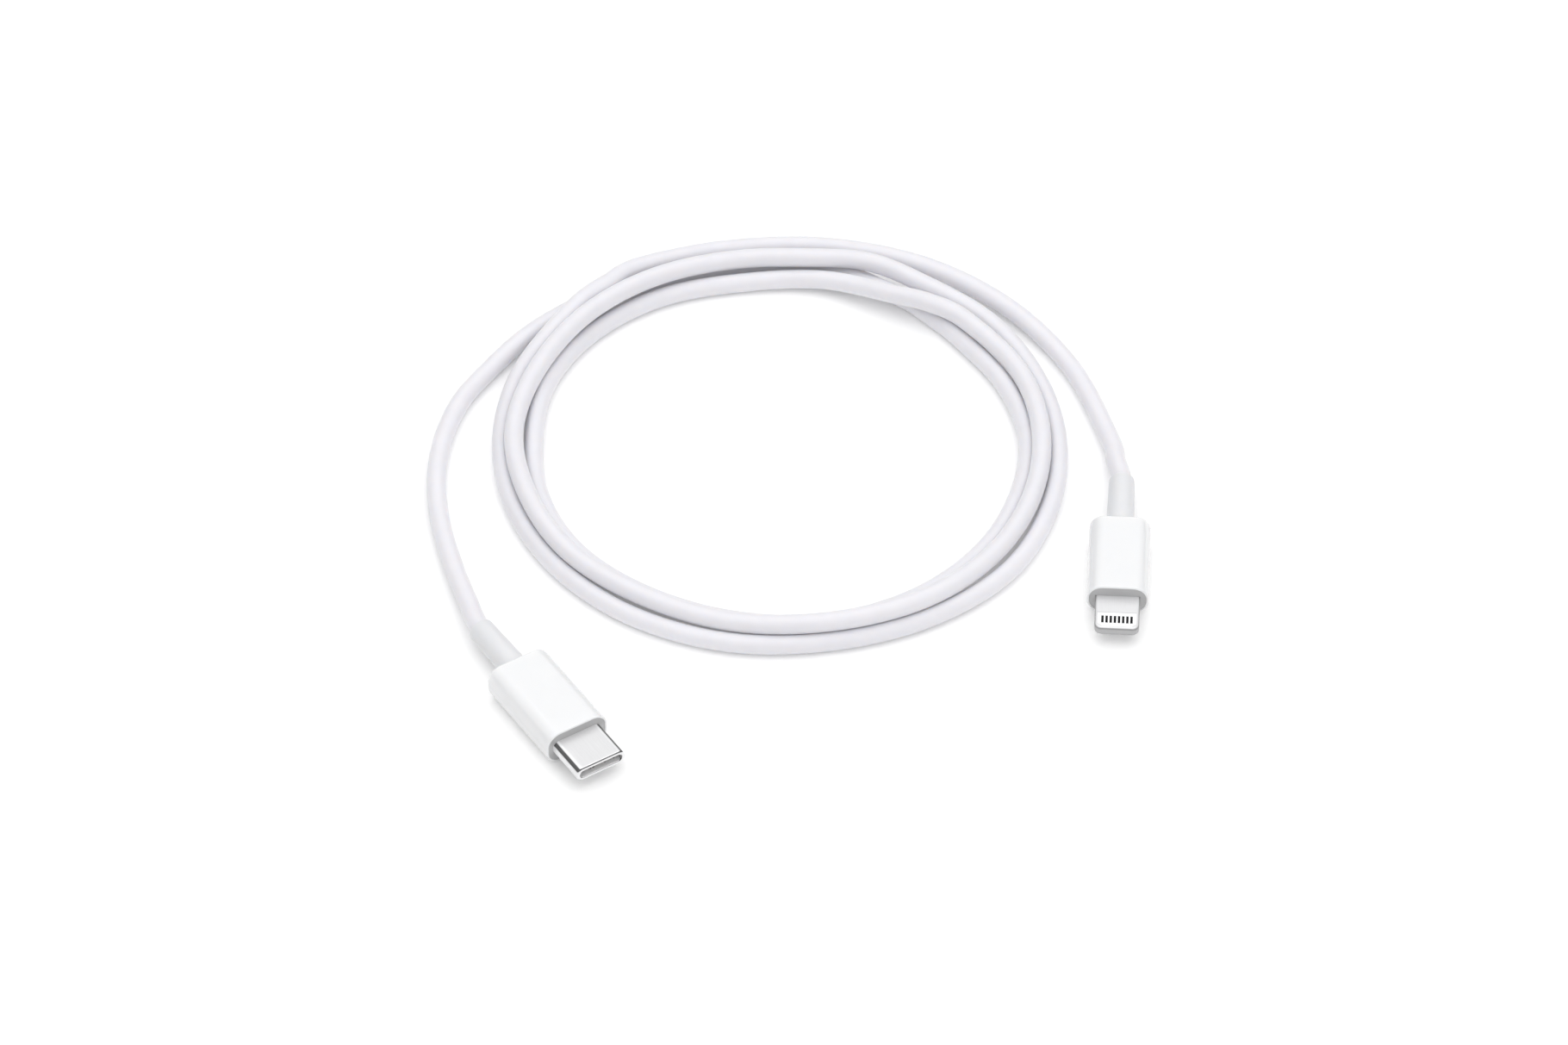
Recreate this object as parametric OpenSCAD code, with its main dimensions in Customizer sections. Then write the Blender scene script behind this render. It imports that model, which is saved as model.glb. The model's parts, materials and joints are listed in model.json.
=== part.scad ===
// Charging cable: type-C plug, one metre of round cord wound in loose turns, eight-contact tab plug.
// Millimetres, +Z up. The origin is the centre of the footprint on the table.
// Each plug is drawn in its own frame: +X out of the mouth, +Y across, +Z up,
// zero at the middle of the casing's front face.

/* [Cord] */
// Outer diameter of the cord jacket
cord_d = 3.0; // [2.4:0.1:3.0]

/* [Type-C plug] */
// Width of the moulded casing
c_w = 10.4; // [10.2:0.1:11.4]
// Thickness of the moulded casing
c_t = 5.8; // [5.6:0.1:6.4]
// Length of the moulded casing
c_l = 17.0; // [17:0.5:20]
// Width of the steel shell
shell_w = 8.25; // [8.25:0.01:8.30]
// Thickness of the steel shell
shell_t = 2.4; // [2.38:0.01:2.42]
// Length of the steel shell in front of the casing
shell_l = 6.65; // [6.2:0.05:6.8]

/* [Tab plug] */
// Width of the moulded casing
t_w = 9.3; // [8.9:0.1:9.8]
// Thickness of the moulded casing
t_t = 5.4; // [5.3:0.1:6.0]
// Length of the moulded casing
t_l = 15.8; // [15:0.1:18]
// Width of the steel tab
tab_w = 6.7; // [6.6:0.05:6.8]
// Thickness of the steel tab
tab_t = 1.5; // [1.4:0.05:1.6]
// Length of the steel tab in front of the casing
tab_l = 6.8; // [6.6:0.1:7.2]

/* [Strain reliefs] */
// Length of each sleeve behind its casing
relief_l = 10.4; // [8:0.1:12]
// Diameter of each sleeve at the casing
relief_d1 = 4.3; // [4.2:0.1:4.3]
// Diameter of each sleeve at its free end
relief_d2 = 3.9; // [3.7:0.1:4.2]

/* [Hidden] */
$fn = 64;
wall = 0.4;          // casing wall
rear_wall = 1.2;     // casing rear wall, which the sleeve's neck fills
plate_x0 = -0.95;    // back and front of each front plate
plate_x1 = -0.15;
play = 0.1;          // clearance of each shield can in its casing
sheet = 0.2;         // shield can and shell thickness
e = 0.01;
corner_r = 2.4;      // corners of each casing's section
rear_r = 0.5;        // rounding of each casing's rear edge
rim_r = 0.25;        // rounding of each casing's front rim
c_pos = [-30.3, -52.2];  c_turn = -57;   // type-C plug on the table
t_pos = [50, -22.8];     t_turn = -93.5; // tab plug on the table
ring = [-0.5, 14];                       // middle of the wound turns
// The turns, from the type-C plug to the tab plug: [angle, radius, height of the centreline]
turns = [
  // left tail, on the table
  [-150, 57, 1.7], [-160, 55, 1.5], [-170, 53.5, 1.5], [180, 52, 1.5], [170, 50.3, 1.5], [160, 48, 1.5],
  [150, 46.5, 1.5], [140, 45, 1.5], [130, 43.5, 1.5],
  // first turn, on the table, under the others at the back
  [120, 41.5, 1.5], [100, 41, 1.5], [80, 40.5, 1.5], [60, 38, 1.5], [50, 37, 1.5], [40, 36.5, 1.5],
  [20, 37, 1.5], [0, 38, 1.5], [-20, 38.5, 1.5], [-40, 39.5, 1.5], [-60, 40.5, 1.5], [-80, 41, 1.5],
  [-100, 40.5, 1.5], [-120, 40, 1.5], [-140, 39.8, 1.5], [-160, 39, 1.5], [180, 38, 1.5], [160, 38.5, 1.5],
  [140, 38.5, 1.5],
  // second turn, lifted into the groove between the other two
  [120, 38, 1.5], [100, 37, 1.5], [80, 37, 2.2], [60, 35.7, 4], [50, 36.6, 4.7], [40, 37.9, 4.3],
  [20, 39.3, 3.8], [0, 40, 3.9], [-20, 41, 3.7], [-40, 42.3, 3.6], [-60, 43.5, 4.1], [-80, 43.5, 4.2],
  [-100, 43, 3.7], [-120, 42.3, 3.8], [-140, 42.1, 3.9], [-160, 41.3, 4.1], [180, 41, 3.9], [160, 40, 4.3],
  [140, 39.5, 5], [120, 39.5, 4.8], [100, 39.5, 4.3], [80, 39.5, 4.6], [70, 40.5, 4.5],
  // third turn, outermost on the table
  [60, 41.3, 3.1], [40, 42.3, 1.9], [20, 42.2, 1.5], [0, 42.6, 1.5], [-20, 43.7, 1.5], [-40, 45.1, 1.5],
  [-60, 45.1, 1.5], [-80, 44.9, 1.5], [-100, 45.2, 1.5], [-120, 44.8, 1.5], [-140, 44, 1.5], [-160, 43.3, 1.5],
  [180, 43, 1.5], [160, 43, 2.2],
  // low hump over the left tail, then the right tail
  [140, 42.5, 4.2], [130, 42.5, 4.8], [120, 43.5, 4.1], [100, 44.5, 2.2], [80, 44.9, 2.2], [60, 45.9, 2.1],
  [40, 46.8, 1.9], [20, 48.2, 1.5], [0, 50.7, 1.6]
];
c_end = 13.4;        // the cord's cut end, behind the front face of the type-C casing
t_end = 11.6;        // the same in the tab plug
function on_c(s) = [c_pos.x - s*cos(c_turn), c_pos.y - s*sin(c_turn), c_t/2];
function on_t(s) = [t_pos.x - s*cos(t_turn), t_pos.y - s*sin(t_turn), t_t/2];
route = concat(
  [on_c(c_end), on_c(c_l + relief_l), [-47.5, -22.3, 2.2]],
  [for (q = turns) [ring.x + q[1]*cos(q[0]), ring.y + q[1]*sin(q[0]), q[2]]],
  [[50.9, 8.6, 2.2], on_t(t_l + relief_l), on_t(t_end)]);
n = len(route);
function unit(v) = v/norm(v);
// direction at each point of the route: along the plug at the ends, else between its neighbours
function way(i) = i <= 1 ? unit(route[1] - route[0]) : i >= n - 2 ? unit(route[n-1] - route[n-2])
                : unit(unit(route[i+1] - route[i]) + unit(route[i] - route[i-1]));
sides = 8;
ring_pts = [for (i = [0:n-1]) let (w = way(i), a = unit(cross([0, 0, 1], w)), b = cross(w, a))
            for (k = [0:sides-1]) let (t = 360*(k + 0.5)/sides) route[i] + cord_d/2*(cos(t)*a + sin(t)*b)];
ring_faces = concat(
  [[for (k = [0:sides-1]) k]],
  [for (i = [0:n-2]) for (k = [0:sides-1]) let (p = i*sides + k, q = i*sides + (k+1)%sides)
     each [[p, p + sides, q], [q, p + sides, q + sides]]],
  [[for (k = [sides-1:-1:0]) (n-1)*sides + k]]);

// ---------- shared shapes ----------
module in_c() { translate([c_pos.x, c_pos.y, c_t/2]) rotate([0, 0, c_turn]) children(); }
module in_t() { translate([t_pos.x, t_pos.y, t_t/2]) rotate([0, 0, t_turn]) children(); }
module along(x0, x1) { translate([x0, 0, 0]) rotate([90, 0, 90]) linear_extrude(x1 - x0) children(); }
module oval(w, t) {
  square([w - t, t], center = true);
  for (s = [-1, 1]) translate([s*(w - t)/2, 0]) circle(d = t);
}
module ovalx(x0, x1, w, t) { along(x0, x1) oval(w, t); }
module soft_box(w, t, r) {   // rectangle with round corners
  square([w - 2*r, t], center = true);
  square([w, t - 2*r], center = true);
  for (y = [-1, 1], z = [-1, 1]) translate([y*(w/2 - r), z*(t/2 - r)]) circle(r);
}
module soft_boxx(x0, x1, w, t, r) { along(x0, x1) soft_box(w, t, r); }
module rodx(x0, x1, d) { along(x0, x1) circle(d = d); }
module boxx(x0, x1, y0, y1, z0, z1) { translate([x0, y0, z0]) cube([x1 - x0, y1 - y0, z1 - z0]); }
// half section of a casing with its two outer edges rounded: radius along X, length along Y
module half(len, r, rb, rf) {
  translate([0, -len + rb]) square([r, len - rb - rf]);
  translate([0, -len]) square([r - rb, rb + e]);
  translate([0, -rf - e]) square([r - rf, rf + e]);
  translate([r - rb, -len + rb]) circle(rb);
  translate([r - rf, -rf]) circle(rf);
}
module both_halves(len, r, rb, rf) { rotate(-90) for (m = [0, 1]) mirror([m, 0]) half(len, r, rb, rf); }
// casing blank: four turned corners and the two slabs between them
module body(len, w, t, rb, rf) {
  a = w/2 - corner_r;
  b = t/2 - corner_r;
  for (y = [-a, a], z = [-b, b]) translate([0, y, z]) rotate([0, 90, 0]) rotate_extrude() intersection() {
    half(len, corner_r, rb, rf);
    translate([0, -len - 1]) square([t, len + 2]);
  }
  rotate([90, 0, 0]) linear_extrude(2*a, center = true) both_halves(len, t/2, rb, rf);
  linear_extrude(2*b, center = true) both_halves(len, w/2, rb, rf);
}
module can(x0, x1, w, t, up, hole) {
  intersection() {
    difference() {
      ovalx(x0, x1, w, t);
      ovalx(x0 + sheet, x1 - sheet, w - 2*sheet, t - 2*sheet);
      rodx(x0 - 1, x0 + 1, hole);
      children();
    }
    boxx(x0 - 1, x1 + 1, -w, w, up ? 0 : -t, up ? t : 0);
  }
}
module relief(l) {   // tapered sleeve with a straight neck in the casing's rear wall
  rotate([0, 90, 0]) rotate_extrude() polygon([[cord_d/2, -l - relief_l], [relief_d2/2, -l - relief_l],
    [relief_d1/2, -l], [relief_d1/2, -l + rear_wall], [cord_d/2, -l + rear_wall]]);
}
module crimp(s) {
  difference() {
    rodx(-s - 1.9, -s - 0.2, cord_d + 0.5);
    rodx(-s - 2.5, -s + 1, cord_d);
  }
}

// ---------- cord ----------
module cord_jacket() { color("#f0eff4") polyhedron(ring_pts, ring_faces); }

// ---------- type-C plug ----------
c_iw = c_w - 2*wall;  c_it = c_t - 2*wall;
module type_c_casing() { color("#fcfcfe") in_c() difference() {
  body(c_l, c_w, c_t, rear_r, rim_r);
  soft_boxx(-c_l + rear_wall, 1, c_iw, c_it, corner_r - wall);
  rodx(-c_l - 1, 0, relief_d1);
} }
module type_c_front_plate() { color("#9a9a9c") in_c() difference() {
  soft_boxx(plate_x0, plate_x1, c_iw, c_it, corner_r - wall);
  ovalx(-2, 1, shell_w, shell_t);
} }
module type_c_shell() { color("#c8c8cc") in_c() difference() {
  ovalx(-6, shell_l, shell_w, shell_t);
  ovalx(-7, shell_l + 1, shell_w - 2*sheet, shell_t - 2*sheet);
} }
// plastic insert: solid at the back, two slotted leaves in front with the tongue gap between them
module type_c_carrier() { color("#2b2b2d") in_c() difference() {
  ovalx(-6, shell_l - 0.25, shell_w - 2*sheet, shell_t - 2*sheet);
  boxx(0.6, shell_l + 1, -3.75, 3.75, -0.6, 0.6);                               // gap for the tongue
  for (y = [-3.95, 2.95]) boxx(-2.2, shell_l + 1, y, y + 1, -0.6, 0.6);         // side pockets of the latches
  boxx(-6.5, -2.4, -3.0, 3.0, -0.1, 0.1);                                       // mid plate slot
  for (i = c_up) boxx(-7, 5.7, across(i) - 0.16, across(i) + 0.16, 0.34, 0.9);
  for (i = c_lo) boxx(-7, 5.7, across(i) - 0.16, across(i) + 0.16, -0.9, -0.34);
  for (z = [-1.3, 0.82]) boxx(3.9, shell_l + 1, -3.0, 3.0, z, z + 0.48);        // seats of the ground springs
} }
c_up = [1, 4, 5, 6, 7, 9, 12];
c_lo = [1, 4, 5, 9, 12];
function across(i) = (i - 6.5)*0.5;    // place of contact i of 12, which are 0.5 apart
// one contact: solder tail, straight blade and a raised nose near the tip
module contact(s) {
  boxx(-8.6, 5.2, -0.12, 0.12, min(s*0.36, s*0.5), max(s*0.36, s*0.5));
  translate([4.6, 0, s*0.42]) rotate([90, 0, 0]) cylinder(h = 0.24, d = 0.3, center = true);
}
module contacts(row, s) { color("#d9b45a") in_c() for (i = row) translate([0, across(i), 0]) contact(s); }
module type_c_contacts_upper() { contacts(c_up, 1); }
module type_c_contacts_lower() { contacts(c_lo, -1); }
module type_c_mid_plate() { color("#b8b8bc") in_c() boxx(-6, -2.4, -3.0, 3.0, -0.075, 0.075); }
// side latch: root block, arm and an inward nose that snaps into the socket's tongue
module latch(s) {
  boxx(-2.1, 5.6, min(s*3.3, s*3.45), max(s*3.3, s*3.45), -0.35, 0.35);
  boxx(-2.1, -1.2, min(s*3.1, s*3.45), max(s*3.1, s*3.45), -0.35, 0.35);
  translate([5.0, s*3.3, 0]) cylinder(h = 0.7, d = 0.6, center = true);
}
module type_c_latch_left() { color("#c8c8cc") in_c() latch(1); }
module type_c_latch_right() { color("#c8c8cc") in_c() latch(-1); }
module ground_spring(s) {
  boxx(4.0, 6.2, -2.9, 2.9, min(s*0.86, s*0.98), max(s*0.86, s*0.98));
}
module type_c_ground_spring_upper() { color("#b8b8bc") in_c() ground_spring(1); }
module type_c_ground_spring_lower() { color("#b8b8bc") in_c() ground_spring(-1); }
module type_c_board() { color("#2f6b45") in_c() boxx(-12.4, -6.1, -3.6, 3.6, -0.34, 0.34); }
module type_c_board_chips() { color("#3a3a3c") in_c() {
  boxx(-11.2, -9.4, 0.4, 2.2, 0.34, 1.0);
  boxx(-10.6, -9.8, -1.6, -1.2, 0.34, 0.7);
  boxx(-10.6, -9.8, -2.8, -2.4, 0.34, 0.7);
  boxx(-10.8, -10.0, 1.6, 2.6, -0.9, -0.34);
} }
module type_c_can(up) {
  in_c() can(-13.2, -1.1, c_iw - play, c_it - play, up, cord_d + 0.1) ovalx(-1.5, 1, shell_w, shell_t);
}
module type_c_can_upper() { color("#b8b8bc") type_c_can(true); }
module type_c_can_lower() { color("#b8b8bc") type_c_can(false); }
module type_c_inner_mould() { color("#dcdcde") in_c() difference() {
  soft_boxx(-c_l + rear_wall, -13.3, c_iw, c_it, corner_r - wall);
  rodx(-c_l, -13, cord_d + 0.5);
} }
module type_c_crimp() { color("#c8c8cc") in_c() crimp(c_end); }
// bared ends of the insulated conductors, side by side on one face of a board
module wires(s, d, z, ys) { for (y = ys) translate([0, y, z]) rodx(-s, -s + 2, d); }
module type_c_power_wires() { color("#c03a30") in_c() wires(c_end, 0.8, 0.80, [-0.75, 0.75]); }
module type_c_data_wires() { color("#e8e8e8") in_c() wires(c_end, 0.5, -0.64, [-0.7, 0, 0.7]); }
module type_c_strain_relief() { color("#ececef") in_c() relief(c_l); }

// ---------- eight-contact tab plug ----------
t_iw = t_w - 2*wall;  t_it = t_t - 2*wall;
pitch = 0.62;          // of the eight pads
pads = [for (i = [0:7]) (i - 3.5)*pitch];
win0 = 3.4;  win1 = tab_l - 0.5;  win_w = 5.9;
notch_x = 4.3;  notch_r = 0.9;  notch_depth = 0.25;   // scoops in the tab's sides, held by the socket
module tab_plan() {   // outline of the tab seen from above, with rounded front corners
  r = 1.1;
  translate([-3.2, -tab_w/2]) square([tab_l + 3.2 - r, tab_w]);
  translate([0, -tab_w/2 + r]) square([tab_l, tab_w - 2*r]);
  for (s = [-1, 1]) translate([tab_l - r, s*(tab_w/2 - r)]) circle(r);
}
module window_plan() {   // the insert's window, with its front corners cut off
  w = win_w/2;
  polygon([[win0, -w], [win1 - 0.6, -w], [win1, -w + 0.8], [win1, w - 0.8], [win1 - 0.6, w], [win0, w]]);
}
module insert_core(x0) { boxx(x0, win1, -2.6, 2.6, -0.45, 0.45); }   // the insert's inner block
module tab_plug_casing() { color("#fcfcfe") in_t() difference() {
  body(t_l, t_w, t_t, rear_r, rim_r);
  soft_boxx(-t_l + rear_wall, 1, t_iw, t_it, corner_r - wall);
  rodx(-t_l - 1, 0, relief_d1);
} }
module tab_plug_front_plate() { color("#8e8e90") in_t() difference() {
  soft_boxx(plate_x0, plate_x1, t_iw, t_it, corner_r - wall);
  boxx(-2, 1, -tab_w/2, tab_w/2, -tab_t/2, tab_t/2);
} }
module tab_plug_tab_frame() { color("#c8c8cc") in_t() difference() {
  intersection() {
    translate([0, 0, -tab_t/2]) linear_extrude(tab_t) tab_plan();
    ovalx(-4, tab_l, tab_w, tab_t);
  }
  insert_core(-4);
  translate([0, 0, -2]) linear_extrude(4) window_plan();
  for (s = [-1, 1]) translate([notch_x, s*(tab_w/2 + notch_r - notch_depth), 0]) sphere(notch_r);
} }
module tab_plug_contact_insert() { color("#fafafc") in_t() difference() {
  union() {
    insert_core(-3.2);
    translate([0, 0, -tab_t/2 + 0.03]) linear_extrude(tab_t - 0.06) window_plan();
  }
  for (y = pads, s = [0, 1]) mirror([0, 0, s]) boxx(4.1, 5.6, y - 0.18, y + 0.18, 0.66, 2);
} }
module pad_row(s) { for (y = pads) mirror([0, 0, s]) boxx(4.1, 5.6, y - 0.18, y + 0.18, 0.66, 0.71); }
module tab_plug_contacts_upper() { color("#2a2a2c") in_t() pad_row(0); }
module tab_plug_contacts_lower() { color("#2a2a2c") in_t() pad_row(1); }
module tab_plug_board() { color("#2f6b45") in_t() boxx(-10.4, -3.2, -2.8, 2.8, -0.34, 0.34); }
module tab_plug_board_chips() { color("#3a3a3c") in_t() {
  boxx(-8.8, -6.6, -1.1, 1.1, 0.34, 1.0);
  boxx(-5.8, -5.0, -2.2, -1.8, 0.34, 0.7);
  boxx(-5.8, -5.0, 1.8, 2.2, 0.34, 0.7);
  boxx(-8.0, -7.0, -1.6, 0.0, -0.9, -0.34);
} }
module tab_plug_can(up) {
  in_t() can(-11.4, -1.1, t_iw - play, t_it - play, up, cord_d + 0.1)
    boxx(-3, 1, -tab_w/2, tab_w/2, -tab_t/2, tab_t/2);
}
module tab_plug_can_upper() { color("#b8b8bc") tab_plug_can(true); }
module tab_plug_can_lower() { color("#b8b8bc") tab_plug_can(false); }
module tab_plug_inner_mould() { color("#dcdcde") in_t() difference() {
  soft_boxx(-t_l + rear_wall, -11.5, t_iw, t_it, corner_r - wall);
  rodx(-t_l, -11, cord_d + 0.5);
} }
module tab_plug_crimp() { color("#c8c8cc") in_t() crimp(t_end); }
module tab_plug_power_wires() { color("#c03a30") in_t() wires(t_end, 0.8, 0.80, [-0.75, 0.75]); }
module tab_plug_data_wires() { color("#e8e8e8") in_t() wires(t_end, 0.5, -0.64, [-0.5, 0.5]); }
module tab_plug_strain_relief() { color("#ececef") in_t() relief(t_l); }

cord_jacket();
type_c_casing();
type_c_front_plate();
type_c_shell();
type_c_carrier();
type_c_contacts_upper();
type_c_contacts_lower();
type_c_mid_plate();
type_c_latch_left();
type_c_latch_right();
type_c_ground_spring_upper();
type_c_ground_spring_lower();
type_c_board();
type_c_board_chips();
type_c_can_upper();
type_c_can_lower();
type_c_inner_mould();
type_c_crimp();
type_c_power_wires();
type_c_data_wires();
type_c_strain_relief();
tab_plug_casing();
tab_plug_front_plate();
tab_plug_tab_frame();
tab_plug_contact_insert();
tab_plug_contacts_upper();
tab_plug_contacts_lower();
tab_plug_board();
tab_plug_board_chips();
tab_plug_can_upper();
tab_plug_can_lower();
tab_plug_inner_mould();
tab_plug_crimp();
tab_plug_power_wires();
tab_plug_data_wires();
tab_plug_strain_relief();
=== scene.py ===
import json
import math

import bmesh
import bpy
from mathutils import Matrix, Vector


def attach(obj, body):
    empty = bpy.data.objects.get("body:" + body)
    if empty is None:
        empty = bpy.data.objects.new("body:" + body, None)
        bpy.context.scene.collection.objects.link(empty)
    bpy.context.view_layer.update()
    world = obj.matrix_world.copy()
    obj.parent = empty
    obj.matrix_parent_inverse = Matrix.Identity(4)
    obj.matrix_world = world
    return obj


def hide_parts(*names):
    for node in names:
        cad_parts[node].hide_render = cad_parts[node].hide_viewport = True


# The charging cable on a pale table. Sizes are in millimetres; MM turns them into the scene's metres.
MM = 0.001

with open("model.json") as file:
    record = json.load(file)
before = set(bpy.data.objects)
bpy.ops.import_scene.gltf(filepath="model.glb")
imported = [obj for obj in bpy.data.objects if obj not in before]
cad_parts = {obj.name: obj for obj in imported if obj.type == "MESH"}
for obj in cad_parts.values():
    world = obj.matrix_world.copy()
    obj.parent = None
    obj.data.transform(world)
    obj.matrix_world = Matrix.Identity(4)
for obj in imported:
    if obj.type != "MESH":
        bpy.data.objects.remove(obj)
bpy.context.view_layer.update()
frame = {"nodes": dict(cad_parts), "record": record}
record = frame["record"]

# ---------- camera ----------
ELEVATION = math.radians(43.5)
DISTANCE = 1.0
TARGET = Vector((0.0, -0.003, 0.0))
LENS = 150.7
SENSOR = 36.0


def add_camera():
    data = bpy.data.cameras.new("camera")
    data.lens = LENS
    data.sensor_width = SENSOR
    data.clip_start = 0.01
    data.clip_end = 20.0
    camera = bpy.data.objects.new("camera", data)
    camera.location = TARGET + DISTANCE * Vector((0.0, -math.cos(ELEVATION), math.sin(ELEVATION)))
    camera.rotation_euler = (math.pi / 2 - ELEVATION, 0.0, 0.0)
    bpy.context.scene.collection.objects.link(camera)
    bpy.context.scene.camera = camera


# ---------- sizes ----------
CORD_D = 3.0
C_W, C_T, C_L = 10.4, 5.8, 17.0     # type-C casing: width, thickness, length
T_W, T_T, T_L = 9.3, 5.4, 15.8      # tab plug's casing
WALL, REAR_WALL = 0.4, 1.2          # walls of both casings
CORNER_R = 2.4                      # corners of each casing's section
REAR_R, RIM_R = 0.5, 0.25           # roundings of each casing's rear edge and front rim
PLATE_BACK = 1.0                    # just behind the front plates, from each casing's front face
RELIEF_L, RELIEF_D1, RELIEF_D2 = 10.4, 4.3, 3.9     # sleeves: length, diameter at the casing and at the end
RELIEF_END_R, RELIEF_FLARE = 0.25, 0.06             # rounding of the free end, swelling at the casing
SHELL_W, SHELL_T, SHELL_L = 8.25, 2.4, 6.65         # steel shell in front of the casing
SHELL_BACK, SHEET = 6.0, 0.2        # how far the shell reaches back, and its wall
ROLL_R, ROLL_ANGLE = 0.34, -25      # the shell's rolled front edge: radius, and where it ends
TAB_W, TAB_T, TAB_L = 6.7, 1.5, 6.8                 # tab in front of the casing
TAB_BACK = 3.2                      # how far the tab reaches back
TAB_CORNER_R, TAB_EDGE_R = 1.1, 0.42                # front corners from above, and edges all round
WINDOW = (3.4, 6.3, 5.9)            # the insert's window: back, front, width
WINDOW_CUT = (0.6, 0.8)             # its cut front corners: along the tab, and across it
WINDOW_DEPTH, WINDOW_LIP = 0.3, 0.05                # where its walls end below, and its softened edge
WINDOW_SPREAD = 0.04                # how far the softened edge widens it
NOTCH_X, NOTCH_R, NOTCH_DEPTH = 4.3, 0.9, 0.25      # the notch in each side of the tab
C_END, T_END = 13.4, 11.6           # the cord's cut ends, behind each casing's front face


def mount(name):
    return next(m for m in record["mounts"] if m["name"] == name)


def plug_frame(name, reach):
    """The plug's own frame in the scene: +X out of the mouth, +Z up, zero on the casing's front face."""
    m = mount(name)
    x = Vector(m["axis"]).normalized()
    z = Vector((0.0, 0.0, 1.0))
    y = z.cross(x)
    origin = Vector(m["pos_m"]) - x * reach * MM
    place = Matrix((x, y, z)).transposed().to_4x4()
    place.translation = origin
    return place @ Matrix.Scale(MM, 4)


TYPE_C = plug_frame("type_c_plug", SHELL_L)
TAB = plug_frame("contact_tab", TAB_L)

# ---------- cord ----------
RING = (-0.5, 14.0)                 # middle of the wound turns
# The turns, from the type-C plug to the tab plug: angle, radius, height of the centreline
TURNS = [
    # left tail, on the table
    (-150, 57, 1.7), (-160, 55, 1.5), (-170, 53.5, 1.5), (180, 52, 1.5), (170, 50.3, 1.5), (160, 48, 1.5),
    (150, 46.5, 1.5), (140, 45, 1.5), (130, 43.5, 1.5),
    # first turn, on the table, under the others at the back
    (120, 41.5, 1.5), (100, 41, 1.5), (80, 40.5, 1.5), (60, 38, 1.5), (50, 37, 1.5), (40, 36.5, 1.5),
    (20, 37, 1.5), (0, 38, 1.5), (-20, 38.5, 1.5), (-40, 39.5, 1.5), (-60, 40.5, 1.5), (-80, 41, 1.5),
    (-100, 40.5, 1.5), (-120, 40, 1.5), (-140, 39.8, 1.5), (-160, 39, 1.5), (180, 38, 1.5), (160, 38.5, 1.5),
    (140, 38.5, 1.5),
    # second turn, lifted into the groove between the other two
    (120, 38, 1.5), (100, 37, 1.5), (80, 37, 2.2), (60, 35.7, 4), (50, 36.6, 4.7), (40, 37.9, 4.3),
    (20, 39.3, 3.8), (0, 40, 3.9), (-20, 41, 3.7), (-40, 42.3, 3.6), (-60, 43.5, 4.1), (-80, 43.5, 4.2),
    (-100, 43, 3.7), (-120, 42.3, 3.8), (-140, 42.1, 3.9), (-160, 41.3, 4.1), (180, 41, 3.9), (160, 40, 4.3),
    (140, 39.5, 5), (120, 39.5, 4.8), (100, 39.5, 4.3), (80, 39.5, 4.6), (70, 40.5, 4.5),
    # third turn, outermost on the table
    (60, 41.3, 3.1), (40, 42.3, 1.9), (20, 42.2, 1.5), (0, 42.6, 1.5), (-20, 43.7, 1.5), (-40, 45.1, 1.5),
    (-60, 45.1, 1.5), (-80, 44.9, 1.5), (-100, 45.2, 1.5), (-120, 44.8, 1.5), (-140, 44, 1.5),
    (-160, 43.3, 1.5), (180, 43, 1.5), (160, 43, 2.2),
    # low hump over the left tail, then the right tail
    (140, 42.5, 4.2), (130, 42.5, 4.8), (120, 43.5, 4.1), (100, 44.5, 2.2), (80, 44.9, 2.2), (60, 45.9, 2.1),
    (40, 46.8, 1.9), (20, 48.2, 1.5), (0, 50.7, 1.6),
]
# Where each tail turns towards its plug: x, y, height
LEFT_BEND = [(-47.5, -22.3, 2.2)]
RIGHT_BEND = [(50.9, 8.6, 2.2)]
CORD_STEPS = 8                      # rings from one route point to the next
CORD_SIDES = 28


def turn_point(angle, radius, height):
    a = math.radians(angle)
    return Vector((RING[0] + radius * math.cos(a), RING[1] + radius * math.sin(a), height)) * MM


def even(first, last):
    """Three evenly spaced places inside a plug, which keep the cord straight there."""
    return [first, (first + last) / 2, last]


def route():
    """The cord's route from its cut end in one plug to its cut end in the other, in metres."""
    start = [TYPE_C @ Vector((-x, 0, 0)) for x in even(C_END, C_L + RELIEF_L)]
    end = [TAB @ Vector((-x, 0, 0)) for x in even(T_L + RELIEF_L, T_END)]
    middle = [Vector(p) * MM for p in LEFT_BEND]
    middle += [turn_point(*t) for t in TURNS]
    middle += [Vector(p) * MM for p in RIGHT_BEND]
    return start + middle + end


def smooth_path(points, steps):
    """A smooth line through the points, which at each runs the way from the point before to the one after."""
    ends = [2 * points[0] - points[1]] + points + [2 * points[-1] - points[-2]]
    line = []
    for p0, p1, p2, p3 in zip(ends, ends[1:], ends[2:], ends[3:]):
        for k in range(steps):
            t = k / steps
            point = p1 + ((p2 - p0) * t + (2 * p0 - 5 * p1 + 4 * p2 - p3) * t ** 2
                          + (3 * p1 - p0 - 3 * p2 + p3) * t ** 3) / 2
            point.z = max(point.z, CORD_D / 2 * MM)
            line.append(point)
    line.append(points[-1])
    return line


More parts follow.
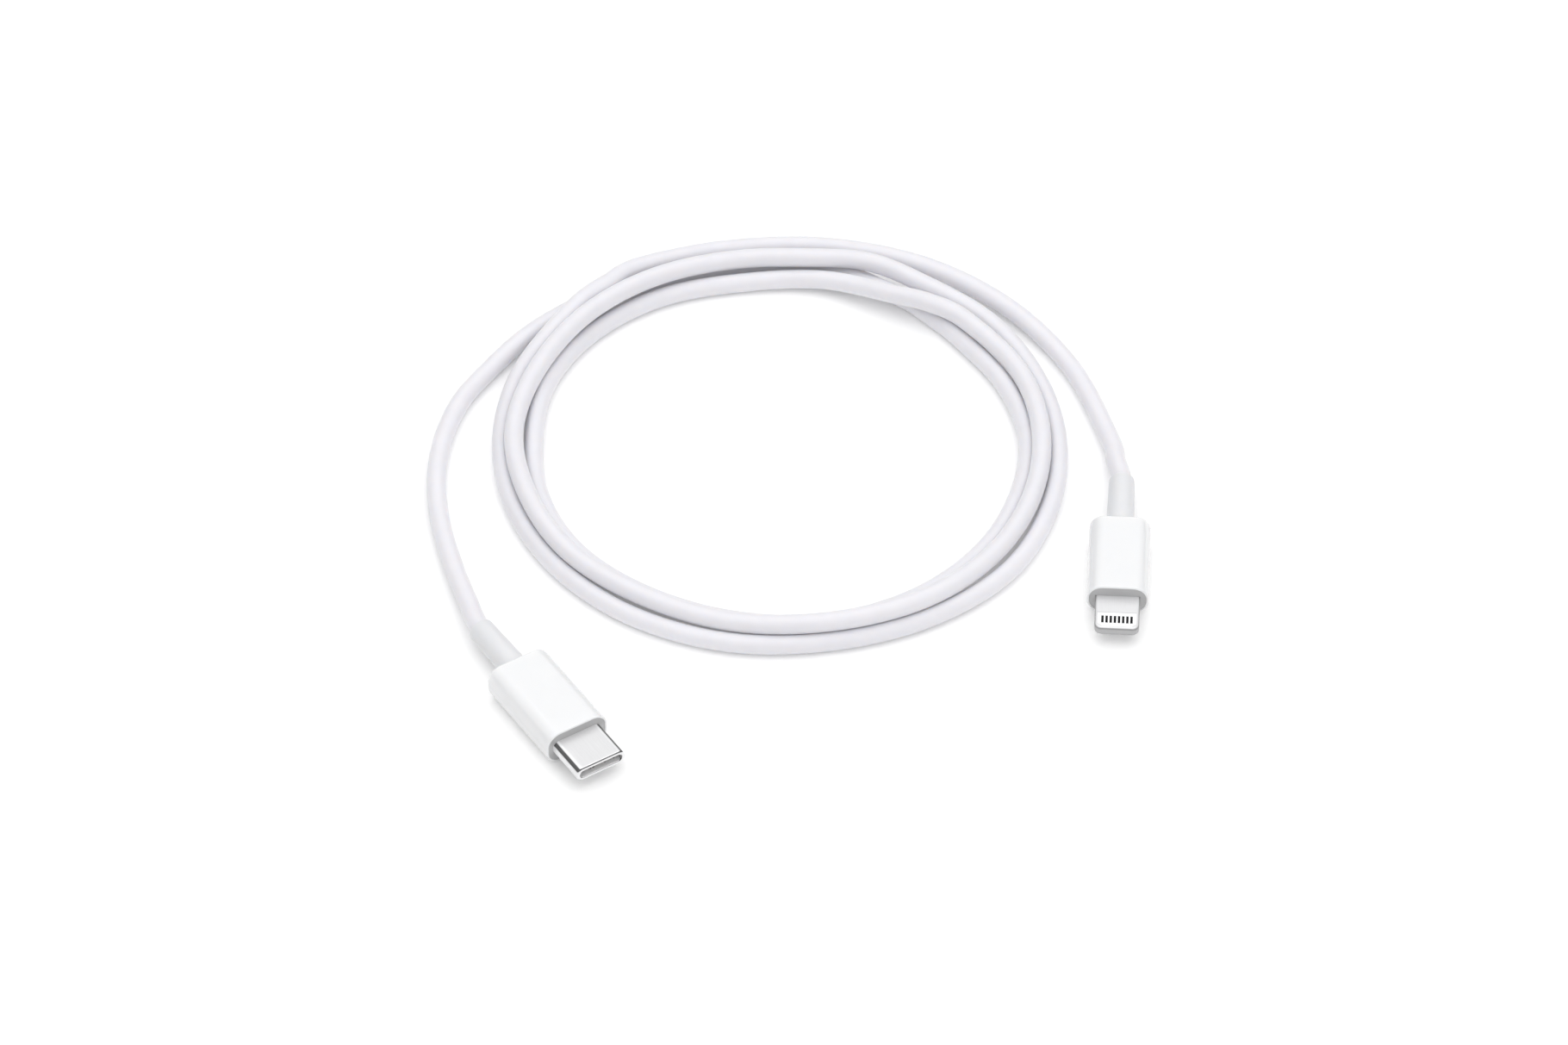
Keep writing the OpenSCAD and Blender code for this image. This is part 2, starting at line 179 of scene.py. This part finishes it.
def add_cord():
    """The jacket: a round tube along the smooth path, twisted as little as possible from ring to ring."""
    path = smooth_path(route(), CORD_STEPS)
    ways = [(b - a).normalized() for a, b in zip(path[:1] + path[:-1], path[1:] + path[-1:])]
    across = Vector((0, 0, 1)).cross(ways[0]).normalized()
    rings = []
    for point, way in zip(path, ways):
        across = (across - way * across.dot(way)).normalized()
        up = way.cross(across)
        turns = [2 * math.pi * k / CORD_SIDES for k in range(CORD_SIDES)]
        rings.append([point + (math.cos(t) * across + math.sin(t) * up) * CORD_D / 2 * MM for t in turns])
    piece = add_mesh("cord", rings, Matrix.Identity(4), "cord_jacket", around=False)
    return piece, path


# ---------- mesh helpers ----------
def add_mesh(name, rings, place, node, around=True, sharp=38.0):
    """A closed mesh through rings of equal length, standing for a node.

    With around, the last ring joins the first; else both are capped. Edges past the sharp angle stay crisp.
    """
    mesh = bpy.data.meshes.new(name)
    bm = bmesh.new()
    loops = [[bm.verts.new(place @ Vector(p)) for p in ring] for ring in rings]
    count = len(rings[0])
    pairs = list(zip(loops, loops[1:]))
    if around:
        pairs.append((loops[-1], loops[0]))
    else:
        bm.faces.new(list(reversed(loops[0])))
        bm.faces.new(loops[-1])
    for a, b in pairs:
        for i in range(count):
            j = (i + 1) % count
            bm.faces.new((a[i], a[j], b[j], b[i]))
    bmesh.ops.recalc_face_normals(bm, faces=bm.faces)
    bm.to_mesh(mesh)
    bm.free()
    mesh.polygons.foreach_set("use_smooth", [True] * len(mesh.polygons))
    mesh.set_sharp_from_angle(angle=math.radians(sharp))
    piece = bpy.data.objects.new(name, mesh)
    bpy.context.scene.collection.objects.link(piece)
    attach(piece, "cable")
    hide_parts(node)
    return piece


def arc(cx, cy, r, a0, a1, n):
    """Points of an arc in a profile, from angle a0 to a1 in degrees."""
    steps = [math.radians(a0 + (a1 - a0) * k / n) for k in range(n + 1)]
    return [(cx + r * math.cos(a), cy + r * math.sin(a)) for a in steps]


# How finely the meshes are divided: quarter arcs, wide and narrow flats, a casing's rear face and its length,
# the small roundings, and a sleeve's length and turn
ARC_STEPS, FLAT_STEPS, SIDE_STEPS = 10, 8, 3
REAR_STEPS, LENGTH_STEPS, RIM_STEPS, LIP_STEPS = 12, 6, 8, 6
ROLL_STEPS, EDGE_STEPS, CORNER_STEPS = 12, 7, 10
SLEEVE_STEPS, SLEEVE_SIDES, SLEEVE_END_STEPS = 24, 48, 5


def soft_ring(x, r, core):
    """A ring at x with round corners: every point is r from a core rectangle with these half sizes."""
    cy, cz = core
    ring = []
    for quarter, (sy, sz) in enumerate(((1, 1), (-1, 1), (-1, -1), (1, -1))):
        for k in range(ARC_STEPS + 1):
            a = math.pi / 2 * (quarter + k / ARC_STEPS)
            ring.append((x, sy * cy + r * math.cos(a), sz * cz + r * math.sin(a)))
        steps = FLAT_STEPS if quarter % 2 == 0 else SIDE_STEPS
        _, y, z = ring[-1]
        along = (-2 * sy * cy, 0.0) if quarter % 2 == 0 else (0.0, -2 * sz * cz)
        for k in range(1, steps):
            ring.append((x, y + along[0] * k / steps, z + along[1] * k / steps))
    return ring


def oval(x, r, c):
    """A stadium ring at x: every point is r from a core line that runs from y = -c to y = c."""
    ring = []
    for side in (1, -1):
        for k in range(2 * ARC_STEPS):
            a = math.pi * (k / (2 * ARC_STEPS) - 0.5)
            ring.append((x, side * (c + r * math.cos(a)), side * r * math.sin(a)))
        for k in range(FLAT_STEPS):
            ring.append((x, side * (c - 2 * c * k / FLAT_STEPS), side * r))
    return ring


def circle_like(ring, x, r):
    """A circle of radius r at x, with one point for each point of the ring."""
    out = []
    for _, y, z in ring:
        a = math.atan2(z, y)
        out.append((x, r * math.cos(a), r * math.sin(a)))
    return out


def core_distance(y, z, core):
    return math.hypot(max(abs(y) - core[0], 0.0), max(abs(z) - core[1], 0.0))


# ---------- pieces ----------
def casing(name, place, length, width, thick, node):
    """Hollow moulded casing: rounded rear with a hole for the sleeve, rounded rim, open at the front."""
    core = (width / 2 - CORNER_R, thick / 2 - CORNER_R)
    inner = CORNER_R - WALL
    hole = RELIEF_D1 / 2

    def rear_x(y, z):
        d = min(max(core_distance(y, z, core) - (CORNER_R - REAR_R), 0.0), REAR_R)
        return -length + REAR_R - math.sqrt(REAR_R ** 2 - d ** 2)

    outline = soft_ring(0, CORNER_R, core)
    hole_ring = circle_like(outline, 0, hole)
    rings = []
    for k in range(REAR_STEPS + 1):
        t = math.sin(math.pi / 2 * k / REAR_STEPS)
        ring = []
        for (_, y0, z0), (_, y1, z1) in zip(hole_ring, outline):
            y, z = y0 + (y1 - y0) * t, z0 + (z1 - z0) * t
            ring.append((rear_x(y, z), y, z))
        rings.append(ring)
    straight = length - REAR_R - RIM_R
    places = [REAR_R - length + straight * k / LENGTH_STEPS for k in range(1, LENGTH_STEPS)]
    rings += [soft_ring(x, CORNER_R, core) for x in places]
    lip = WALL - RIM_R
    profile = arc(-RIM_R, CORNER_R - RIM_R, RIM_R, 90, 0, RIM_STEPS)
    profile += arc(-lip, inner + lip, lip, 0, -90, LIP_STEPS)
    profile += [(-PLATE_BACK, inner), (-length + REAR_WALL, inner)]
    rings += [soft_ring(x, p, core) for x, p in profile]
    rings.append(circle_like(outline, -length + REAR_WALL, hole))
    return add_mesh(name, rings, place, node)


def shell():
    """Drawn steel shell with its front edge rolled inwards."""
    c = (SHELL_W - SHELL_T) / 2
    r = SHELL_T / 2
    inner = r - SHEET
    edge = SHELL_L - ROLL_R
    profile = [(-SHELL_BACK, r), (-0.6, r), (0.2, r), (edge - 0.4, r)]
    profile += arc(edge, r - ROLL_R, ROLL_R, 90, ROLL_ANGLE, ROLL_STEPS)
    profile += [(edge - 0.15, inner - 0.16), (edge - 0.45, inner), (-SHELL_BACK, inner)]
    rings = [oval(x, p, c) for x, p in profile]
    return add_mesh("shell", rings, TYPE_C, "type_c_shell")


def sleeve(name, place, length, node):
    """Strain relief: a tapered sleeve with a soft step at its free end."""
    end = -length - RELIEF_L
    inside = -length + REAR_WALL
    r1, r2, bore = RELIEF_D1 / 2, RELIEF_D2 / 2, CORD_D / 2
    profile = arc(end + RELIEF_END_R, r2 - RELIEF_END_R, RELIEF_END_R, 180, 90, SLEEVE_END_STEPS)
    for k in range(1, SLEEVE_STEPS):
        t = k / SLEEVE_STEPS
        x = end + RELIEF_END_R + (RELIEF_L - RELIEF_END_R) * t
        flare = RELIEF_FLARE * (math.exp(-8 * (1 - t)) - t ** 6)
        profile.append((x, r2 + (r1 - r2) * t + flare))
    profile += [(-length, r1), (inside, r1), (inside, bore), (end + 4.0, bore), (end, bore)]
    angles = [2 * math.pi * k / SLEEVE_SIDES for k in range(SLEEVE_SIDES)]
    rings = [[(x, p * math.cos(a), p * math.sin(a)) for a in angles] for x, p in profile]
    return add_mesh(name, rings, place, node)


def ray_loop(outline, middle, angles):
    """Where rays from the middle at these angles cross a convex outline."""
    out = []
    for a in angles:
        dx, dy = math.cos(a), math.sin(a)
        for (x0, y0), (x1, y1) in zip(outline, outline[1:] + outline[:1]):
            ex, ey = x1 - x0, y1 - y0
            det = ex * dy - ey * dx
            if abs(det) < 1e-12:
                continue
            s = ((middle[0] - x0) * dy - (middle[1] - y0) * dx) / det
            t = ((middle[0] - x0) * ey - (middle[1] - y0) * ex) / det
            if -1e-9 <= s <= 1 + 1e-9 and t > 0:
                out.append((middle[0] + t * dx, middle[1] + t * dy))
                break
    return out


def tab_outline(inset):
    """The tab from above, with rounded front corners, moved in by inset."""
    w, x1, x0 = TAB_W / 2 - inset, TAB_L - inset, -TAB_BACK
    r = TAB_CORNER_R - inset * 0.6
    right = arc(x1 - r, w - r, r, 0, 90, CORNER_STEPS)
    left = arc(x1 - r, r - w, r, 270, 360, CORNER_STEPS)
    return right + [(x0, w), (x0, -w)] + left


def window_outline(spread=0.0):
    """The insert's window from above, with cut front corners, widened by spread."""
    back, front, width = WINDOW
    w = width / 2 + spread
    x0, x1 = back - spread, front + spread
    cut_x, cut_y = WINDOW_CUT
    return [(x1, w - cut_y), (x1 - cut_x, w), (x0, w), (x0, -w), (x1 - cut_x, -w), (x1, cut_y - w)]


def scoop(x, y, z):
    """The point, or where it lies on the surface of the notch if it is inside one of the two."""
    middle = TAB_W / 2 + NOTCH_R - NOTCH_DEPTH
    left = NOTCH_R ** 2 - (x - NOTCH_X) ** 2 - z ** 2
    if left <= 0:
        return (x, y, z)
    return (x, math.copysign(min(abs(y), middle - math.sqrt(left)), y), z)


def tab_frame():
    """Steel frame of the tab: soft edges, a notch in each side and a window through it for the insert."""
    half = TAB_T / 2
    core = half - TAB_EDGE_R
    middle = ((WINDOW[0] + WINDOW[1]) / 2, 0.0)
    shapes = [tab_outline(0.0), tab_outline(TAB_EDGE_R), window_outline()]
    shapes.append([(NOTCH_X + k / 10, s * TAB_W / 2) for k in range(-8, 9) for s in (1, -1)])
    corners = {round(math.atan2(y - middle[1], x - middle[0]), 6) for o in shapes for x, y in o}
    angles = sorted(corners | {round(math.radians(a), 6) for a in range(-180, 180, 5)})
    rounded = [(TAB_EDGE_R - x, z) for x, z in arc(0, core, TAB_EDGE_R, 90, 0, EDGE_STEPS)]
    flat = [(0.0, core * k / 3) for k in (2, 1, 0, -1, -2)]
    levels = rounded + flat + [(inset, -z) for inset, z in reversed(rounded)]

    def level(outline, z):
        return [(x, y, z) for x, y in ray_loop(outline, middle, angles)]

    lip = half - WINDOW_LIP
    rings = [level(window_outline(), z) for z in (-WINDOW_DEPTH, lip)]
    rings.append(level(window_outline(WINDOW_SPREAD), half))
    rings += [[scoop(*p) for p in level(tab_outline(inset), z)] for inset, z in levels]
    rings.append(level(window_outline(WINDOW_SPREAD), -half))
    rings.append(level(window_outline(), -lip))
    return add_mesh("tab_frame", rings, TAB, "tab_plug_tab_frame", sharp=30)


# ---------- materials ----------
NOISE_LOW, NOISE_HIGH = 0.3, 0.7    # most of a noise lies between these
SCATTER_REACH = 1.2                 # how far light spreads below a soft surface
SCATTER_COLOR = (1.0, 0.9, 0.8)     # and how far each colour of it goes


def new_material(name):
    mat = bpy.data.materials.new(name)
    mat.use_nodes = True
    tree = mat.node_tree
    tree.nodes.clear()
    out = tree.nodes.new("ShaderNodeOutputMaterial")
    shader = tree.nodes.new("ShaderNodeBsdfPrincipled")
    tree.links.new(shader.outputs["BSDF"], out.inputs["Surface"])
    return mat, tree, shader


def coords(tree, heading=0.0, stretch=(1.0, 1.0, 1.0)):
    """Object coordinates in millimetres, turned to a plug's heading and stretched."""
    source = tree.nodes.new("ShaderNodeTexCoord")
    turn = tree.nodes.new("ShaderNodeMapping")
    turn.inputs["Rotation"].default_value = (0.0, 0.0, -heading)
    size = tree.nodes.new("ShaderNodeMapping")
    size.inputs["Scale"].default_value = [s / MM for s in stretch]
    tree.links.new(source.outputs["Object"], turn.inputs["Vector"])
    tree.links.new(turn.outputs["Vector"], size.inputs["Vector"])
    return size.outputs["Vector"]


def noise(tree, vector, scale, detail=3.0):
    tex = tree.nodes.new("ShaderNodeTexNoise")
    tex.inputs["Scale"].default_value = scale
    tex.inputs["Detail"].default_value = detail
    tree.links.new(vector, tex.inputs["Vector"])
    return tex.outputs["Fac"]


def span(tree, value, low, high):
    """A noise's values spread from low to high."""
    fit = tree.nodes.new("ShaderNodeMapRange")
    fit.inputs["From Min"].default_value = NOISE_LOW
    fit.inputs["From Max"].default_value = NOISE_HIGH
    fit.inputs["To Min"].default_value = low
    fit.inputs["To Max"].default_value = high
    tree.links.new(value, fit.inputs["Value"])
    return fit.outputs["Result"]


def set_stops(ramp, stops):
    """Give a colour ramp these grey stops, each a position and a value."""
    while len(ramp.color_ramp.elements) < len(stops):
        ramp.color_ramp.elements.new(0.5)
    for element, (position, value) in zip(ramp.color_ramp.elements, stops):
        element.position = position
        element.color = (value, value, value, 1.0)


def tint(tree, value, dark, light):
    """A colour that a noise takes from dark to light."""
    ramp = tree.nodes.new("ShaderNodeValToRGB")
    ramp.color_ramp.elements[0].position = NOISE_LOW
    ramp.color_ramp.elements[0].color = (*dark, 1.0)
    ramp.color_ramp.elements[1].position = NOISE_HIGH
    ramp.color_ramp.elements[1].color = (*light, 1.0)
    tree.links.new(value, ramp.inputs["Fac"])
    return ramp.outputs["Color"]


def bump(tree, shader, height, depth):
    """Bump of the given depth in millimetres."""
    node = tree.nodes.new("ShaderNodeBump")
    node.inputs["Distance"].default_value = depth * MM
    tree.links.new(height, node.inputs["Height"])
    tree.links.new(node.outputs["Normal"], shader.inputs["Normal"])


def plastic(name, color, rough, vary=0.02, grain=5.0, depth=0.004, scatter=0.0, coat=0.0):
    """Moulded plastic or soft jacket: a faint cloudy tint, fine grain and slightly uneven gloss."""
    mat, tree, shader = new_material(name)
    where = coords(tree)
    cloud = noise(tree, where, 0.35, 2.0)
    fine = noise(tree, where, grain, 4.0)
    dark = [c * (1 - vary) for c in color]
    tree.links.new(tint(tree, cloud, dark, color), shader.inputs["Base Color"])
    tree.links.new(span(tree, fine, rough * 0.9, rough * 1.1), shader.inputs["Roughness"])
    bump(tree, shader, fine, depth)
    shader.inputs["IOR"].default_value = 1.5
    shader.inputs["Coat Weight"].default_value = coat
    shader.inputs["Coat Roughness"].default_value = 0.08
    if scatter:
        shader.inputs["Subsurface Weight"].default_value = scatter
        shader.inputs["Subsurface Radius"].default_value = SCATTER_COLOR
        shader.inputs["Subsurface Scale"].default_value = SCATTER_REACH * MM
    return mat


def painted_reflection_by_tilt(tree, color, stops):
    """The colour times a grey for how far a face tilts, which paints reflection: stops run from upright faces
    to level ones.
    """
    where = tree.nodes.new("ShaderNodeTexCoord")
    split = tree.nodes.new("ShaderNodeSeparateXYZ")
    level = tree.nodes.new("ShaderNodeMath")
    level.operation = "ABSOLUTE"
    ramp = tree.nodes.new("ShaderNodeValToRGB")
    set_stops(ramp, stops)
    mix = tree.nodes.new("ShaderNodeMix")
    mix.data_type = "RGBA"
    mix.blend_type = "MULTIPLY"
    mix.inputs["Factor"].default_value = 1.0
    tree.links.new(where.outputs["Normal"], split.inputs["Vector"])
    tree.links.new(split.outputs["Z"], level.inputs[0])
    tree.links.new(level.outputs["Value"], ramp.inputs["Fac"])
    tree.links.new(color, mix.inputs["A"])
    tree.links.new(ramp.outputs["Color"], mix.inputs["B"])
    return mix.outputs["Result"]


def metal(name, color, rough, heading, streak=0.06, depth=0.0015, painted_reflection=None, metallic=1.0):
    """Drawn or stamped metal: fine lines along the plug, and cloudy variation in its gloss; given stops, a
    painted reflection darkens faces by their tilt.
    """
    mat, tree, shader = new_material(name)
    lines = noise(tree, coords(tree, heading, (0.25, 14.0, 14.0)), 1.0, 3.0)
    cloud = noise(tree, coords(tree), 0.8, 3.0)
    dark = [c * (1 - streak) for c in color]
    shade = tint(tree, lines, dark, color)
    # Painted reflection: faces darkened by how far they tilt
    if painted_reflection:
        shade = painted_reflection_by_tilt(tree, shade, painted_reflection)
    tree.links.new(shade, shader.inputs["Base Color"])
    tree.links.new(span(tree, cloud, rough * 0.8, rough * 1.2), shader.inputs["Roughness"])
    bump(tree, shader, lines, depth)
    shader.inputs["Metallic"].default_value = metallic
    return mat


def heading_of(place):
    """The direction that a plug points in, seen from above."""
    x = place.col[0]
    return math.atan2(x.y, x.x)


# Painted reflection, greys by how level a face is: dark bands painted on the shell's shoulders with a
# slightly darker flat top, and darker tab sides, front and rounded edges, where real steel would mirror dark
# surroundings
SHELL_PAINTED_REFLECTION = [(0.0, 1.0), (0.5, 1.0), (0.6, 0.12), (0.87, 0.12), (0.92, 1.0), (0.98, 1.0), (0.998, 0.8)]
TAB_PAINTED_REFLECTION = [(0.0, 0.62), (0.55, 0.4), (0.88, 1.0), (1.0, 1.0)]


def make_materials():
    """Every look, by name: the record's slots, and the tab's own steel."""
    c_way, t_way = heading_of(TYPE_C), heading_of(TAB)
    return {
        "jacket": plastic("jacket", (0.78, 0.775, 0.81), 0.42, grain=9.0, depth=0.006, scatter=0.9),
        "relief": plastic("relief", (0.77, 0.77, 0.785), 0.45, grain=9.0, depth=0.006, scatter=0.7),
        "casing": plastic("casing", (0.87, 0.87, 0.875), 0.22, vary=0.008, grain=2.0, depth=0.001,
                          scatter=0.3, coat=0.3),
        "front_plate": plastic("front_plate", (0.5, 0.5, 0.505), 0.5, grain=12.0, depth=0.006),
        # Painted light: this plastic is made pale grey, well above the carrier's dark moulding, to lift the
        # shade inside the type-C mouth
        "dark_plastic": plastic("dark_plastic", (0.78, 0.78, 0.79), 0.5, grain=10.0),
        "white_plastic": plastic("white_plastic", (0.93, 0.93, 0.94), 0.35, grain=8.0),
        "chip": plastic("chip", (0.025, 0.025, 0.027), 0.5, grain=12.0),
        "mould": plastic("mould", (0.68, 0.68, 0.7), 0.55, grain=4.0),
        "red_wire": plastic("red_wire", (0.52, 0.04, 0.03), 0.4),
        "pale_wire": plastic("pale_wire", (0.8, 0.8, 0.8), 0.4),
        "board": plastic("board", (0.03, 0.15, 0.06), 0.3, vary=0.2, grain=3.0),
        # The shell's and the tab's steel carry painted reflection, dark by tilt
        "shell_steel": metal("shell_steel", (0.92, 0.92, 0.93), 0.4, c_way,
                             painted_reflection=SHELL_PAINTED_REFLECTION, metallic=0.3),
        "tab_steel": metal("tab_steel", (0.76, 0.76, 0.77), 0.4, t_way, streak=0.04, depth=0.0005,
                           painted_reflection=TAB_PAINTED_REFLECTION, metallic=0.3),
        "spring_steel": metal("spring_steel", (0.6, 0.6, 0.62), 0.28, c_way),
        "can_steel": metal("can_steel", (0.62, 0.62, 0.64), 0.35, c_way),
        "gold": metal("gold", (0.83, 0.6, 0.26), 0.22, c_way),
        "dark_pad": metal("dark_pad", (0.02, 0.02, 0.022), 0.45, t_way),
    }


def paint(piece, mat):
    """Give the piece this one material."""
    if piece.material_slots:
        for s in piece.material_slots:
            s.material = mat
    else:
        piece.data.materials.append(mat)


# ---------- stage ----------
FLOOR_HALF, FLOOR_DROP = 3.0, 0.00002               # half its side, and how far below the object it lies
# Brightness of the room from the horizon to straight up
ROOM_STOPS = [(0.0, 0.3), (0.06, 0.08), (0.28, 0.1), (0.42, 0.45), (0.62, 0.58), (0.78, 0.72), (1.0, 1.0)]
ROOM_STRENGTH = 1.55


def add_floor():
    """A pale matt floor that also glows faintly, which keeps its shadows light."""
    mesh = bpy.data.meshes.new("floor")
    bm = bmesh.new()
    bmesh.ops.create_grid(bm, x_segments=1, y_segments=1, size=FLOOR_HALF)
    bm.to_mesh(mesh)
    bm.free()
    floor = bpy.data.objects.new("floor", mesh)
    floor.location.z = -FLOOR_DROP
    bpy.context.scene.collection.objects.link(floor)
    mat, tree, shader = new_material("floor")
    shader.inputs["Base Color"].default_value = (0.9, 0.9, 0.9, 1.0)
    shader.inputs["Roughness"].default_value = 0.9
    shader.inputs["Specular IOR Level"].default_value = 0.1
    shader.inputs["Emission Color"].default_value = (1.0, 1.0, 1.0, 1.0)
    shader.inputs["Emission Strength"].default_value = 0.10
    mesh.materials.append(mat)


def add_area(name, place, aim, size, power):
    """A round lamp at a place, turned towards another."""
    data = bpy.data.lights.new(name, "AREA")
    data.shape = "DISK"
    data.size = size
    data.energy = power
    light = bpy.data.objects.new(name, data)
    light.location = place
    light.rotation_euler = (Vector(aim) - Vector(place)).to_track_quat("-Z", "Y").to_euler()
    bpy.context.scene.collection.objects.link(light)


def add_world():
    """A soft white room, bright overhead and dark low down."""
    world = bpy.data.worlds.new("room")
    world.use_nodes = True
    tree = world.node_tree
    tree.nodes.clear()
    out = tree.nodes.new("ShaderNodeOutputWorld")
    sky = tree.nodes.new("ShaderNodeBackground")
    where = tree.nodes.new("ShaderNodeTexCoord")
    split = tree.nodes.new("ShaderNodeSeparateXYZ")
    ramp = tree.nodes.new("ShaderNodeValToRGB")
    tree.links.new(where.outputs["Generated"], split.inputs["Vector"])
    tree.links.new(split.outputs["Z"], ramp.inputs["Fac"])
    tree.links.new(ramp.outputs["Color"], sky.inputs["Color"])
    tree.links.new(sky.outputs["Background"], out.inputs["Surface"])
    set_stops(ramp, ROOM_STOPS)
    sky.inputs["Strength"].default_value = ROOM_STRENGTH
    bpy.context.scene.world = world


# ---------- build ----------
add_camera()
cord, cord_path = add_cord()
looks = make_materials()
paint(cord, looks["jacket"])

pieces = {
    "casing": [
        casing("type_c_body", TYPE_C, C_L, C_W, C_T, "type_c_casing"),
        casing("tab_plug_body", TAB, T_L, T_W, T_T, "tab_plug_casing"),
    ],
    "shell_steel": [shell()],
    "tab_steel": [tab_frame()],
    "relief": [
        sleeve("type_c_sleeve", TYPE_C, C_L, "type_c_strain_relief"),
        sleeve("tab_plug_sleeve", TAB, T_L, "tab_plug_strain_relief"),
    ],
}
for look, group in pieces.items():
    for piece in group:
        paint(piece, looks[look])

for part in record["subparts"]:
    paint(frame["nodes"][part["node"]], looks[part["material_slot"]])

add_world()
add_area("overhead", (0.0, 0.12, 0.9), (0.0, 0.0, 0.0), 1.1, 1.6)
add_area("front", (0.5, -0.95, 0.5), (0.0, 0.0, 0.0), 0.8, 1.5)
add_floor()
bpy.context.scene.view_settings.view_transform = "Standard"
